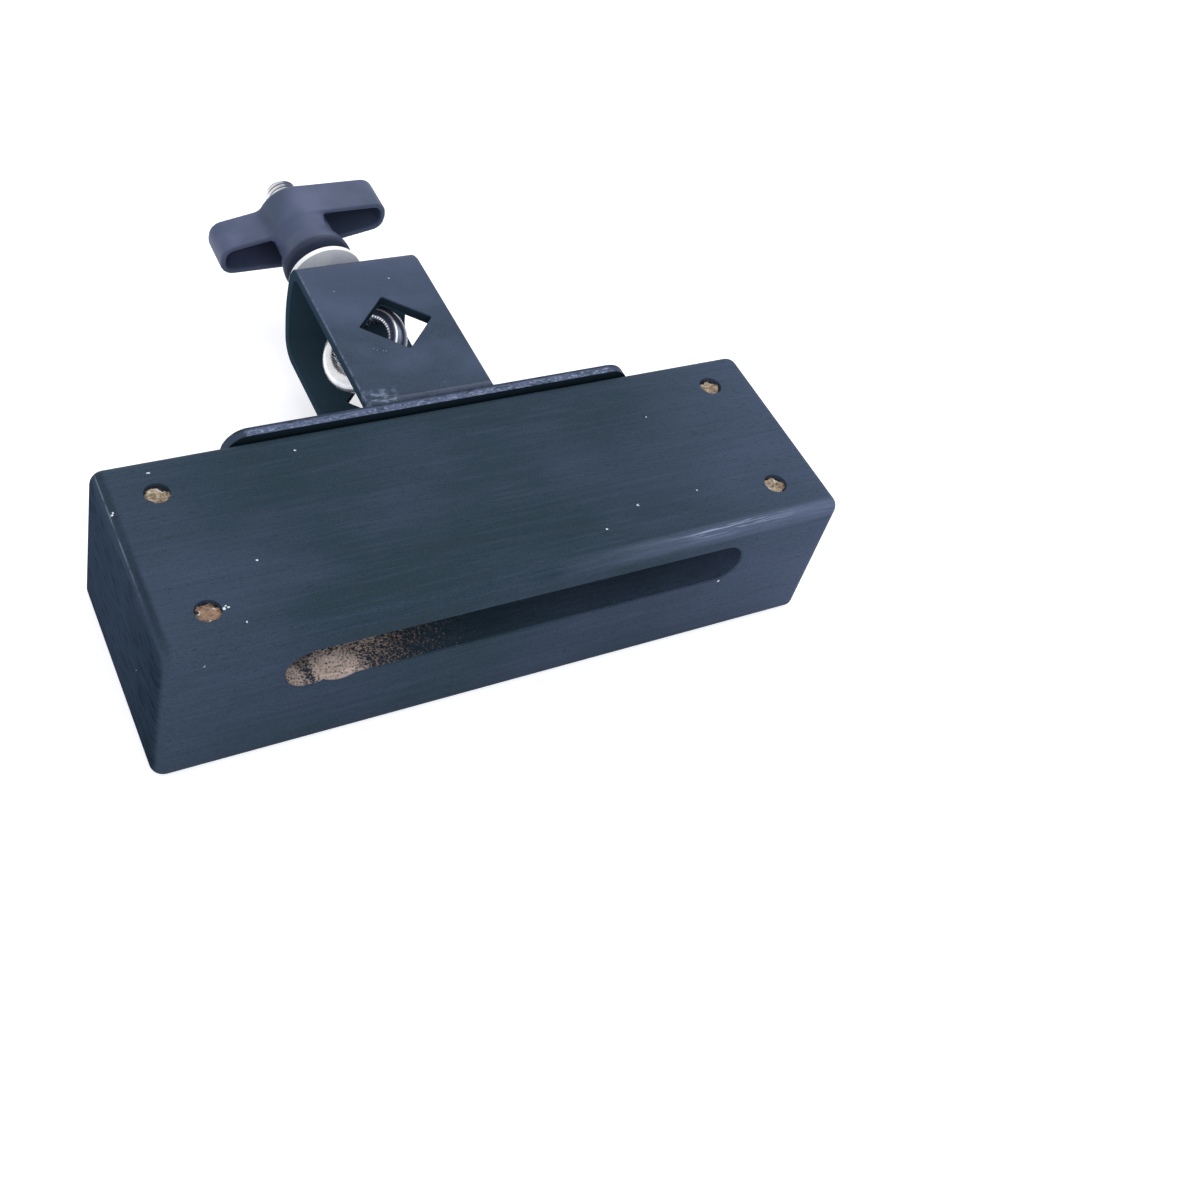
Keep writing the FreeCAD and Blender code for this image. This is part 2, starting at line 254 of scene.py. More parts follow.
paintedWood = {
    "teal": tone(38, 55, 66),
    "lavender": tone(52, 65, 84),
    "wornAndSheen": tone(82, 94, 122),
    "poreAndShade": tone(22, 34, 43),
    "endGrain": tone(56, 70, 87),
    "glint": tone(156, 165, 194),
    # the rubbed front top rounding, with its painted highlight
    "edge": tone(110, 121, 150),
    # the left top edge's painted highlight line
    "line": tone(104, 118, 132),
    "rawPink": tone(250, 228, 216),
    "rawGrey": tone(208, 190, 182),
    "rawDeep": tone(138, 116, 108),
    "fleck": tone(222, 228, 234),
    "roughness": 0.62,
    "specular": 0.06,
    "noises": {
        "clouds": ((13, 24, 24), 4.0, 0.55),
        "streaks": ((45, 900, 900), 4.0, 0.6),
        "fine": ((1800, 3200, 3200), 2.0, 0.6),
        "pores": ((420, 2600, 2600), 2.0, 0.5, (4, 1, 7)),
        "rings": ((30, 130, 750), 4.0, 0.65, (8, 2, 3)),
        "brush": ((55, 1300, 1300), 5.0, 0.65, (2, 0, 5)),
        "breaks": ((200, 160, 200), 3.0, 0.6),
        "mist": ((1700, 1700, 1700), 3.0, 0.7, (9, 4, 1)),
        "fibre": ((240, 1100, 1100), 4.0, 0.6, (3, 1, 2)),
    },
    # how the noises, and the painted sheen towards both ends, turn into tones
    "lavenderClouds": (0.42, 0.64),
    "sheenToRight": (40, 94, 0.0, 0.48),
    "sheenToLeft": (-55, -90, 0.0, 0.22),
    "wornStreaks": (0.50, 0.72, 0.0, 0.14),
    "darkStreaks": (0.45, 0.25, 0.0, 0.22),
    "wornFine": (0.55, 0.72, 0.0, 0.22),
    "darkFine": (0.45, 0.30, 0.0, 0.40),
    "darkPores": (0.60, 0.68, 0.0, 0.40),
    # the end grain
    "leftEnd": (-93.8, -94.6),
    "rightEnd": (93.8, 94.6),
    "endClouds": (0.35, 0.65, 0.85, 0.62),
    "endRings": (0.48, 0.62, 0.0, 0.40),
    "endFront": (0, -26, 0.0, 0.35),
    # the rounding of the front top edge, rubbed and with a painted highlight, and the painted glints on its
    # crown
    "roundingY": (-27.8, -29.4),
    "roundingZ": (40.2, 43.0),
    "rubbedHighlightBrush": (0.38, 0.66, 0.5, 1.0),
    "rubbedHighlightX": (5, 50, 0.05, 0.62),
    "crownY": (-30.4, -29.0, 0.5),
    "crownZ": (43.0, 43.6),
    "glintBrush": (0.50, 0.60),
    "glintX": (50, 68, 12),
    "glintShare": 0.75,
    # the left top edge: painted shade on its shoulder, and a thin broken painted highlight line
    "shadedShoulderX": (-93.0, -92.3, 0.9),
    "shadedShoulderY": (-31.0, -22.0),
    "shadedShoulderZ": (43.0, 43.8),
    "shadedShoulderClouds": (0.40, 0.60, 0.35, 0.70),
    "highlightLineX": (-93.75, -93.60, 0.12),
    "highlightLineY": (-14, 4),
    "highlightLineZ": (42.5, 43.0),
    "highlightLineBreaks": (0.42, 0.55, 0.10, 0.75),
    # the bare end of the slot, with a strip of stain left between the two plunge cuts
    "slotX": (-65.5, -65.3),
    "slotY": (-30.9, 15.0, 0.4),
    "slotZ": (22.0, 37.0, 0.3),
    "stripX": (-57.4, -56.8, 0.7),
    "stripY": (-24.0, -27.5),
    "stripShare": 0.40,
    "bareWeight": 0.36,
    "bareFrom": (0.67, 0.83),
    "pinkFibre": (0.35, 0.60),
    "greyBare": (0.93, 0.80, 0.0, 0.85),
    "deepBare": (0.80, 0.50, 0.0, 0.90),
    # bare spots: X, Y, Z, the radii where their share starts and ends to fall, and that share
    "bareSpots": [
        (-61.8, -28.5, 23.5, 2.5, 9.5, 0.84),
        (-51.0, -30.0, 22.5, 4.5, 17.0, 0.95),
        (-44.0, -20.0, 23.0, 5.0, 36.0, 0.68),
    ],
    "flecks": [
        (-93.2, 15.3, 44.6, 0.42), (-92.9, 15.8, 44.7, 0.32), (-65.1, -7.5, 45.0, 0.30),
        (-73.2, -24.5, 45.0, 0.27), (-44.3, 24.7, 45.0, 0.30), (-81.7, 26.1, 45.0, 0.25),
        (-81.2, 26.0, 45.0, 0.22), (54.7, 13.1, 45.0, 0.27), (36.3, -16.4, 45.0, 0.36),
        (24.0, -21.8, 45.0, 0.30), (55.3, -15.8, 45.0, 0.22), (-76.9, -19.3, 45.0, 0.42),
        (-76.4, -18.7, 45.0, 0.25), (-75.9, -19.2, 45.0, 0.30), (-85.2, -31.5, 41.6, 0.28),
        (60.5, -31.5, 22.8, 0.36), (-22.6, -31.5, 24.4, 0.26), (-25.5, -31.5, 25.6, 0.24),
        (-95.0, -14.4, 22.2, 0.24),
    ],
    "streakHeight": 0.7,
    "poreHeight": -0.3,
    "bump": (0.14, 0.3),
}


def makePaintedWood():
    wood = paintedWood
    material, tree, shader, place = startMaterial("painted_wood", wood)
    x, y, z = axesOf(tree, place)
    grain = noisesOf(tree, place, wood["noises"])
    color = over(tree, wood["teal"], wood["lavender"], ramp(tree, grain["clouds"], *wood["lavenderClouds"]))
    # painted sheen: lighter towards both ends, on the top and the front alike
    for reach in ("sheenToRight", "sheenToLeft"):
        color = over(tree, color, wood["wornAndSheen"], fade(tree, x, *wood[reach]))
    for name, share, top in (("streaks", "wornStreaks", "wornAndSheen"), ("streaks", "darkStreaks", "poreAndShade"),
                             ("fine", "wornFine", "wornAndSheen"), ("fine", "darkFine", "poreAndShade"),
                             ("pores", "darkPores", "poreAndShade")):
        color = over(tree, color, wood[top], ramp(tree, grain[name], *wood[share]))
    color = addEndGrain(tree, shader, color, grain, x, y)
    color = addEdgeWearAndPaintedLight(tree, color, grain, x, y, z)
    color = addBareSlot(tree, place, color, grain, x, y, z)
    color = over(tree, color, wood["fleck"], flecksOf(tree, place, grain["fine"], wood["flecks"]))
    height = maths(tree, "ADD", times(tree, grain["streaks"], wood["streakHeight"]),
                   times(tree, grain["pores"], wood["poreHeight"]))
    finishMaterial(tree, shader, color, height, *wood["bump"])
    return material


def addEndGrain(tree, shader, color, grain, x, y):
    # the end grain has drunk more stain, most towards the front, and doesn't shine
    wood = paintedWood
    ends = maths(tree, "MAXIMUM", fade(tree, x, *wood["leftEnd"]), fade(tree, x, *wood["rightEnd"]))
    dullWhere(tree, shader, ends, wood["specular"])
    color = over(tree, color, wood["endGrain"], ends, ramp(tree, grain["clouds"], *wood["endClouds"]))
    rings = ramp(tree, grain["rings"], *wood["endRings"])
    return over(tree, color, wood["poreAndShade"], ends, maths(tree, "ADD", rings, fade(tree, y, *wood["endFront"])))


def addEdgeWearAndPaintedLight(tree, color, grain, x, y, z):
    # the front top rounding is rubbed and carries a painted highlight, most towards the right, with painted
    # glints on its crown
    wood = paintedWood
    rounding = times(tree, fade(tree, y, *wood["roundingY"]), fade(tree, z, *wood["roundingZ"]))
    color = over(tree, color, wood["edge"], rounding, ramp(tree, grain["brush"], *wood["rubbedHighlightBrush"]),
                 fade(tree, x, *wood["rubbedHighlightX"]))
    crown = times(tree, between(tree, y, *wood["crownY"]), fade(tree, z, *wood["crownZ"]))
    color = over(tree, color, wood["glint"], crown, ramp(tree, grain["brush"], *wood["glintBrush"]),
                 between(tree, x, *wood["glintX"]), wood["glintShare"])
    # painted shade on the left top edge, with a painted highlight line along its rear half
    color = over(tree, color, wood["poreAndShade"], between(tree, x, *wood["shadedShoulderX"]),
                 fade(tree, z, *wood["shadedShoulderZ"]), ramp(tree, grain["clouds"], *wood["shadedShoulderClouds"]),
                 fade(tree, y, *wood["shadedShoulderY"]))
    return over(tree, color, wood["line"], between(tree, x, *wood["highlightLineX"]), fade(tree, z, *wood["highlightLineZ"]),
                ramp(tree, grain["breaks"], *wood["highlightLineBreaks"]), fade(tree, y, *wood["highlightLineY"]))


def addBareSlot(tree, place, color, grain, x, y, z):
    # bare wood inside the slot's left end, under a fine mist of stain that thickens to the right and inwards
    wood = paintedWood
    inSlot = times(tree, between(tree, y, *wood["slotY"]), between(tree, z, *wood["slotZ"]),
                   fade(tree, x, *wood["slotX"]))
    bare = 0.0
    for *spot, near, far, share in wood["bareSpots"]:
        away = distanceTo(tree, place, [value * mm for value in spot])
        bare = maths(tree, "MAXIMUM", bare, fade(tree, away, near, far, share, 0.0))
    strip = times(tree, between(tree, x, *wood["stripX"]), fade(tree, y, *wood["stripY"]), wood["stripShare"])
    weight = times(tree, maths(tree, "SUBTRACT", bare, strip), wood["bareWeight"])
    shown = maths(tree, "ADD", grain["mist"], weight)
    raw = over(tree, wood["rawGrey"], wood["rawPink"], ramp(tree, grain["fibre"], *wood["pinkFibre"]))
    raw = over(tree, raw, wood["rawGrey"], ramp(tree, bare, *wood["greyBare"]))
    raw = over(tree, raw, wood["rawDeep"], ramp(tree, bare, *wood["deepBare"]))
    return over(tree, color, raw, inSlot, ramp(tree, shown, *wood["bareFrom"]))


# the four dowels in the top face, each a little below it with a lumpy end

plugNames = ("plug_front_left", "plug_front_right", "plug_back_left", "plug_back_right")
plugWood = {
    "light": tone(178, 162, 138),
    "shade": tone(126, 108, 92),
    "brown": tone(156, 120, 100),
    "dark": tone(40, 40, 46),
    "chip": tone(226, 226, 226),
    "roughness": 0.8,
    "specular": 0.2,
    "noises": {
        "fibre": ((500, 900, 500), 4.0, 0.65),
        "specks": ((1400, 1400, 1400), 2.0, 0.5, (5, 2, 9)),
        "blots": ((430, 430, 430), 3.0, 0.6, (1, 8, 3)),
    },
    # the front left dowel is browner than the others
    "brownX": (-60, -61),
    "brownY": (-1, -2),
    "brownShare": 0.8,
    "lightFibre": (0.42, 0.58),
    "darkSpecks": (0.56, 0.66, 0.0, 0.7),
    # stain over the rim and chips beside it, by the distance from the dowel's centre with blots on it
    "blotNoise": (0.3, 0.7, -0.9 * mm, 0.9 * mm),
    "stainedRim": (2.80, 3.00),
    "chipRing": (2.40, 2.75, 0.1),
    "chipBlots": (0.55, 0.60),
    "chipShare": 0.6,
    "bump": (0.6, 0.4),
    # the end's mesh: rings inset by a share of the radius, and lumps
    "sides": 48,
    "rings": 8,
    "ringStep": 0.11,
    "lumpHeight": 0.35,
    "coarseWaves": 700,
    "fineWaves": 1600,
    "fineShare": 0.6,
    "rimDrop": 0.2,
    "rimPower": 4,
}


def makePlugWood():
    wood = plugWood
    material, tree, shader, place = startMaterial("raw_plug_wood", wood)
    x, y = axesOf(tree, place)[:2]
    grain = noisesOf(tree, place, wood["noises"])
    light = over(tree, wood["light"], wood["brown"], fade(tree, x, *wood["brownX"]),
                 fade(tree, y, *wood["brownY"]), wood["brownShare"])
    color = over(tree, wood["shade"], light, ramp(tree, grain["fibre"], *wood["lightFibre"]))
    color = over(tree, color, wood["dark"], ramp(tree, grain["specks"], *wood["darkSpecks"]))
    # stain runs over the rim, and a few pale chips stand against it
    away = 1.0
    for name in plugNames:
        low, high = boxOf(name)
        centre = Vector(((low.x + high.x) / 2, (low.y + high.y) / 2, high.z))
        away = maths(tree, "MINIMUM", away, distanceTo(tree, place, centre))
    reach = maths(tree, "ADD", away, ramp(tree, grain["blots"], *wood["blotNoise"]))
    color = over(tree, color, wood["dark"], fade(tree, reach, *wood["stainedRim"]))
    color = over(tree, color, wood["chip"], between(tree, reach, *wood["chipRing"]),
                 ramp(tree, grain["blots"], *wood["chipBlots"]), wood["chipShare"])
    finishMaterial(tree, shader, color, grain["fibre"], *wood["bump"])
    return material


def makePlug(name, material):
    wood = plugWood
    low, high = boxOf(name)
    middle = (low + high) / 2
    radius = (high.x - low.x) / 2
    bm = bmesh.new()
    bmesh.ops.create_cone(bm, cap_ends=True, segments=wood["sides"], radius1=radius, radius2=radius,
                          depth=high.z - low.z)
    bmesh.ops.translate(bm, verts=bm.verts, vec=middle)
    top = max(bm.faces, key=lambda face: face.calc_center_median().z)
    for ring in range(wood["rings"]):
        bmesh.ops.inset_region(bm, faces=[top], thickness=radius * wood["ringStep"])
    for vert in bm.verts:
        if vert.co.z > high.z - sameWithin:
            coarse = noise.noise(vert.co * wood["coarseWaves"])
            lumps = coarse + wood["fineShare"] * noise.noise(vert.co * wood["fineWaves"])
            rim = math.hypot(vert.co.x - middle.x, vert.co.y - middle.y) / radius
            vert.co.z += wood["lumpHeight"] * mm * lumps - wood["rimDrop"] * mm * rim ** wood["rimPower"]
    addPiece(name + "_end", bm, material, "block", [name])


# black steel: what the plate, the strap and the weld share

blackSteel = {
    "body": tone(54, 68, 89),
    "deep": tone(20, 32, 41),
    "shade": tone(50, 70, 83),
    "haze": tone(82, 94, 123),
    "line": tone(120, 132, 158),
    "speck": tone(160, 170, 198),
    "roughness": 0.55,
    "specular": 0.10,
    "noises": {
        "fine": ((1700, 1700, 1700), 3.0, 0.6),
        "clouds": ((45, 45, 45), 3.0, 0.5),
    },
    "deepFine": (0.3, 0.7, 0.0, 0.30),
    "hazeClouds": (0.45, 0.75, 0.0, 0.55),
    "fineHeight": 0.15,
}


def steelTones(tree, place):
    steel = blackSteel
    grain = noisesOf(tree, place, steel["noises"])
    color = over(tree, steel["body"], steel["deep"], ramp(tree, grain["fine"], *steel["deepFine"]))
    color = over(tree, color, steel["haze"], ramp(tree, grain["clouds"], *steel["hazeClouds"]))
    return grain["fine"], color


# the plate: thick lumpy paint on its top edge, lightened as a painted highlight with bright painted specks in
# the middle, and painted shade on its front face and along its rear

plateLook = {
    "noises": {
        "lumps": ((330, 600, 600), 4.0, 0.7),
        "specks": ((900, 1500, 1500), 3.0, 0.6, (2, 2, 6)),
    },
    "shadedFrontY": (31.9, 31.6),
    "shadedFrontZ": (45.75, 45.60),
    "topZ": (45.70, 45.85),
    "topHighlightLumps": (0.35, 0.60, 0.4, 1.0),
    "pitLumps": (0.44, 0.36),
    "pitShare": 0.6,
    "shadedRearY": (33.4, 33.9),
    "shadedRearZ": (44.5, 45.0),
    "shadedRearShare": 0.7,
    "highlightSpecksX": (10, 40, 0.6, 1.0),
    "highlightSpecksY": (31.9, 32.9, 0.7),
    "highlightSpecks": (0.50, 0.64),
    "highlightSpecksLumps": (0.42, 0.56, 0.35, 1.0),
    "bump": (0.5, 0.6),
}


def makePlateSteel():
    steel, plate = blackSteel, plateLook
    material, tree, shader, place = startMaterial("plate_steel", steel)
    x, y, z = axesOf(tree, place)
    fine, color = steelTones(tree, place)
    grain = noisesOf(tree, place, plate["noises"])
    lumps = grain["lumps"]
    top = fade(tree, z, *plate["topZ"])
    # painted shade on the front face, a painted highlight over the top edge, pits in its paint, and painted
    # shade along the rear
    color = over(tree, color, steel["deep"], fade(tree, y, *plate["shadedFrontY"]), fade(tree, z, *plate["shadedFrontZ"]))
    color = over(tree, color, steel["haze"], top, ramp(tree, lumps, *plate["topHighlightLumps"]))
    color = over(tree, color, steel["deep"], top, ramp(tree, lumps, *plate["pitLumps"]), plate["pitShare"])
    color = over(tree, color, steel["deep"], fade(tree, y, *plate["shadedRearY"]), fade(tree, z, *plate["shadedRearZ"]),
                 plate["shadedRearShare"])
    # bright painted specks of highlight along the middle of the top edge
    middle = times(tree, top, between(tree, y, *plate["highlightSpecksY"]))
    color = over(tree, color, steel["speck"], middle, ramp(tree, grain["specks"], *plate["highlightSpecks"]),
                 ramp(tree, lumps, *plate["highlightSpecksLumps"]), fade(tree, x, *plate["highlightSpecksX"]))
    height = maths(tree, "ADD", times(tree, top, lumps), times(tree, fine, steel["fineHeight"]))
    finishMaterial(tree, shader, color, height, *plate["bump"])
    return material


# the strap: lengths are from the named side of its box, unless they are X, Y and Z of the part

strapLook = {
    "noises": {
        "gaps": ((120, 700, 700), 4.0, 0.6, (1, 7, 2)),
        "blobs": ((420, 520, 520), 3.0, 0.6, (6, 6, 2)),
    },
    # painted shade, and dull: the inside, the left sides and the walls of both rod holes
    "shadedInsideFromTop": (-2.8, -3.1),
    "shadedInsideFromBottom": (2.8, 3.1),
    "shadedInsideFromEnd": (-2.2, -3.0),
    "shadedSideFromLeft": (0.3, 0.1),
    "shadedSideFromTop": (-0.4, -0.7),
    "shadeShare": 0.9,
    "holeAxis": (-0.5, 64.8),
    "holeReach": (12.2, 11.8),
    "upperHoleFromTop": (-2.9, -0.6, 0.2),
    "lowerHoleFromBottom": (0.4, 2.8, 0.2),
    "shadedHoleShare": 0.8,
    # the top leg's top face, lighter towards its end, and a thin painted highlight line on its left edge
    "lighterTopY": (60, 94),
    "lighterTopFromTop": (-2, 0),
    "lighterTopShare": 0.4,
    "highlightFromLeft": (0.5, 0.3),
    "highlightFromTop": (-0.5, -0.3),
    "highlightGaps": (0.38, 0.55, 0.05, 0.50),
    "chips": [
        (4.6, 83.0, 45.6, 0.32), (-13.1, 80.6, 45.6, 0.17), (-10.7, 55.7, 45.6, 0.14),
        (-9.9, 55.0, 45.6, 0.15), (-8.4, 54.3, 45.6, 0.16), (-7.7, 54.1, 45.6, 0.13),
        (3.6, 38.9, 45.6, 0.20),
    ],
    "chipShare": 0.8,
    # weld spatter on the left corner of the top leg, where it meets the plate
    "cornerFromLeft": (10, 7),
    "cornerFromFront": (6.2, 4.0),
    "cornerFromTop": (-2, -1),
    "spatterBlobs": (0.46, 0.60),
    "spatterShare": 0.8,
    "bump": (0.6, 0.5),
}


def strapShadedHoleWalls(tree, x, y, z, low, high):
    strap = strapLook
    across = maths(tree, "SUBTRACT", x, strap["holeAxis"][0] * mm)
    along = maths(tree, "SUBTRACT", y, strap["holeAxis"][1] * mm)
    inLegs = maths(tree, "MAXIMUM", between(tree, z, *strap["upperHoleFromTop"], origin=high.z),
                   between(tree, z, *strap["lowerHoleFromBottom"], origin=low.z))
    return times(tree, inLegs, fade(tree, lengthOf(tree, across, along), *strap["holeReach"]))


def makeStrapSteel():
    steel, strap = blackSteel, strapLook
    material, tree, shader, place = startMaterial("strap_steel", steel)
    x, y, z = axesOf(tree, place)
    fine, color = steelTones(tree, place)
    grain = noisesOf(tree, place, strap["noises"])
    low, high = boxOf("clamp_strap")
    # painted shade on the inside, on the left sides and on the rod holes' walls, darkest in the holes
    inside = times(tree, fade(tree, z, *strap["shadedInsideFromTop"], origin=high.z),
                   fade(tree, z, *strap["shadedInsideFromBottom"], origin=low.z),
                   fade(tree, y, *strap["shadedInsideFromEnd"], origin=high.y))
    sides = times(tree, fade(tree, x, *strap["shadedSideFromLeft"], origin=low.x),
                  fade(tree, z, *strap["shadedSideFromTop"], origin=high.z))
    shadedHoleWalls = strapShadedHoleWalls(tree, x, y, z, low, high)
    dark = maths(tree, "MAXIMUM", maths(tree, "MAXIMUM", inside, sides), shadedHoleWalls)
    dullWhere(tree, shader, dark, steel["specular"])
    color = over(tree, color, steel["shade"], dark, strap["shadeShare"])
    # the top leg's top face lighter towards its end
    color = over(tree, color, steel["haze"], fade(tree, y, *strap["lighterTopY"]),
                 fade(tree, z, *strap["lighterTopFromTop"], origin=high.z), strap["lighterTopShare"])
    color = over(tree, color, steel["deep"], shadedHoleWalls, strap["shadedHoleShare"])
    # a thin painted highlight line along the top leg's left edge, broken by noise
    edge = times(tree, fade(tree, x, *strap["highlightFromLeft"], origin=low.x),
                 fade(tree, z, *strap["highlightFromTop"], origin=high.z))
    color = over(tree, color, steel["line"], edge, ramp(tree, grain["gaps"], *strap["highlightGaps"]))
    chips = flecksOf(tree, place, fine, strap["chips"])
    color = over(tree, color, steel["speck"], chips, strap["chipShare"])
    corner = times(tree, fade(tree, x, *strap["cornerFromLeft"], origin=low.x),
                   fade(tree, y, *strap["cornerFromFront"], origin=low.y),
                   fade(tree, z, *strap["cornerFromTop"], origin=high.z))
    color = over(tree, color, steel["line"], corner, ramp(tree, grain["blobs"], *strap["spatterBlobs"]),
                 strap["spatterShare"])
    height = maths(tree, "ADD", times(tree, fine, steel["fineHeight"]), times(tree, corner, grain["blobs"]))
    finishMaterial(tree, shader, color, height, *strap["bump"])
    return material


# the weld over the end of the top leg: a low ridge of uneven beads under paint, with some spatter

weldSeam = {
    "radius": 1.15,
    "sides": 24,
    "rings": 180,
    "towardsFront": 0.2,
    "belowTop": 0.15,
    "beadLength": 1.9,
    "beadDepth": 0.06,
    "coarseWaves": 420,
    "fineWaves": 1300,
    "fineShare": 0.5,
    "roughLumps": 0.14,
    "roughLimit": 0.45,
    "slimmer": 0.08,
    "taperLength": 1.6,
    "endSize": 0.35,
    "roughness": 0.5,
    "specular": 0.3,
    "spatter": ((420, 1100, 1100), 3.0, 0.6),
    "brightSpatter": (0.52, 0.64),
    "brightX": (-8.5, -12.5, 0.0, 0.75),
    "bump": (0.5, 0.4),
}


def makeWeldSteel():
    seam = weldSeam
    material, tree, shader, place = startMaterial("weld_steel", seam)
    x = axesOf(tree, place)["X"]
    color = steelTones(tree, place)[1]
    spatter = grainNoise(tree, place, *seam["spatter"])
    color = over(tree, color, blackSteel["line"], ramp(tree, spatter, *seam["brightSpatter"]),
                 fade(tree, x, *seam["brightX"]))
    finishMaterial(tree, shader, color, spatter, *seam["bump"])
    return material


def makeWeldSeam(material):
    seam = weldSeam
    low, high = boxOf("weld_upper")
    length = high.x - low.x
    radius = seam["radius"] * mm
    centre = Vector(((low.x + high.x) / 2, (low.y + high.y) / 2 - seam["towardsFront"] * mm,
                     high.z - seam["belowTop"] * mm - radius))
    bm = bmesh.new()
    alongX = Matrix.Translation(centre) @ Matrix.Rotation(math.radians(90), 4, "Y")
    bmesh.ops.create_cone(bm, cap_ends=True, segments=seam["sides"], radius1=radius, radius2=radius,
                          depth=length, matrix=alongX)
    long = [edge for edge in bm.edges if abs(edge.verts[0].co.x - edge.verts[1].co.x) > length / 2]
    bmesh.ops.subdivide_edges(bm, edges=long, cuts=seam["rings"], use_grid_fill=True)
    for vert in bm.verts:
        out = vert.co - centre
        along = out.x
        out.x = 0
        bead = abs(math.sin(math.pi * along / (seam["beadLength"] * mm)))
        rough = noise.noise(vert.co * seam["coarseWaves"])
        rough += seam["fineShare"] * noise.noise(vert.co * seam["fineWaves"])
        swell = 1 - seam["beadDepth"] * (1 - bead) - seam["slimmer"]
        swell += seam["roughLumps"] * min(rough, seam["roughLimit"])
        taper = min(1.0, (length / 2 - abs(along)) / (seam["taperLength"] * mm) + seam["endSize"])
        vert.co = Vector((vert.co.x, centre.y, centre.z)) + out * swell * taper
    addPiece("weld_seam", bm, material, "block", ["weld_upper"])


# bright plated pieces

platingLook = {
    "noises": {
        "clouds": ((260, 260, 260), 4.0, 0.6),
        "fine": ((2400, 2400, 2400), 2.0, 0.5),
    },
    "shadeClouds": (0.38, 0.66),
    "roughClouds": (0.3, 0.7),
    "smoother": 0.06,
    "rougher": 0.10,
    "bump": (0.08, 0.1),
}

boltPlating = {
    "light": tone(248, 248, 250),
    "shade": tone(222, 224, 230),
    "groove": tone(52, 56, 64),
    "threadRootShade": tone(70, 72, 78),
    "reflected": tone(84, 92, 114),
    "roughness": 0.24,
    "metallic": 0.60,
    # the strap's dark reflection painted over the ring, by X from the bolt's axis, and the painted highlights
    # on the tooth tips and a streak that stay bright in it
    "reflectedX": (-3, 1),
    "toothTipHighlights": (0.35, 0.80, 0.15),    # from the bore's radius
    "tipWave": (0.4, -0.2, 0.15, 1.0),
    "highlightStreak": (11.9, 12.2, 0.2),
    # painted shade in the roots between the ring's teeth and along the thread
    "boreEdge": (0.45, 0.35),           # from the bore's radius
    "grooveWave": (0.1, 0.6),
    "threadEdge": (0.60, 0.25),         # from the thread's root
    "shankY": (-12, -11),               # from the washer's front
}

washerPlating = {
    "light": tone(250, 253, 255),
    "shade": tone(234, 241, 251),
    # the painted highlight around the rim
    "rim": tone(253, 253, 253),
    "rimHighlightFrom": (-0.2, -0.1),            # from the washer's radius
    "roughness": 0.5,
    "metallic": 0.0,
}

screwPlating = {
    "light": tone(110, 112, 118),
    "shade": tone(78, 80, 88),
    "roughness": 0.4,
    "metallic": 0.9,
}

insertPlating = {
    "light": tone(190, 190, 194),
    "shade": tone(150, 150, 156),
    "roughness": 0.35,
    "metallic": 0.9,
}


def makePlating(name, finish, details=None):
    look = platingLook
    material, tree, shader, place = startMaterial(name, finish)
    grain = noisesOf(tree, place, look["noises"])
    color = over(tree, finish["light"], finish["shade"], ramp(tree, grain["clouds"], *look["shadeClouds"]))
    if details:
        color = details(tree, place, color)
    smooth, rough = finish["roughness"] - look["smoother"], finish["roughness"] + look["rougher"]
    uneven = ramp(tree, grain["clouds"], *look["roughClouds"], smooth, rough)
    tree.links.new(uneven, shader.inputs["Roughness"])
    finishMaterial(tree, shader, color, grain["fine"], *look["bump"])
    return material


def boltAxis():
    # a point on the bolt's axis, which runs along Y through the washer's centre
    low, high = boxOf("washer")
    return (low + high) / 2


def awayFromBolt(tree, place):
    # how far a point lies from the bolt's axis
    axis = boltAxis()
    x, y, z = axesOf(tree, place)
    return lengthOf(tree, maths(tree, "SUBTRACT", x, axis.x), maths(tree, "SUBTRACT", z, axis.z))


def washerRimHighlight(tree, place, color):
    low, high = boxOf("washer")
    # a painted highlight around the washer's outer rim
    rim = fade(tree, awayFromBolt(tree, place), *washerPlating["rimHighlightFrom"], origin=(high.x - low.x) / 2)
    return over(tree, color, washerPlating["rim"], rim)


def boltDetails(tree, place, color):
    look, bolt = boltPlating, boltThread
    x, y, z = axesOf(tree, place)
    centre = boltAxis()
    centre.y = boxOf("eyebolt")[0].y + bolt["ringRadius"] * mm
    moved = put(tree, "ShaderNodeVectorMath", {0: place, 1: centre}, operation="SUBTRACT").outputs[0]
    turn = {"Vector": moved, "Axis": (0, 1, 0), "Angle": math.radians(-bolt["ringSwing"])}
    ringX, ringY = axesOf(tree, put(tree, "ShaderNodeVectorRotate", turn).outputs[0])[:2]
    away = lengthOf(tree, ringX, ringY)
    wave = maths(tree, "COSINE", times(tree, maths(tree, "ARCTAN2", ringY, ringX), bolt["teeth"]))
    bore = bolt["boreRadius"] * mm

    # a painted reflection of the strap, with painted highlights kept on the tooth tips and a streak
    reflected = fade(tree, x, *look["reflectedX"], origin=centre.x)
    color = over(tree, color, look["reflected"], reflected)
    tips = times(tree, between(tree, away, *look["toothTipHighlights"], origin=bore),
                 ramp(tree, wave, *look["tipWave"]))
    bright = maths(tree, "MAXIMUM", tips, between(tree, away, *look["highlightStreak"]))
    color = over(tree, color, look["light"], reflected, bright)
    # painted shade in the roots between the teeth and along the thread
    color = over(tree, color, look["groove"], fade(tree, away, *look["boreEdge"], origin=bore),
                 ramp(tree, wave, *look["grooveWave"]))
    root = fade(tree, awayFromBolt(tree, place), *look["threadEdge"], origin=bolt["root"] * mm)
    onShank = fade(tree, y, *look["shankY"], origin=boxOf("washer")[0].y)
    return over(tree, color, look["threadRootShade"], onShank, root)


# the eyebolt: its ring and neck as the frame has them, and a real thread along the shank

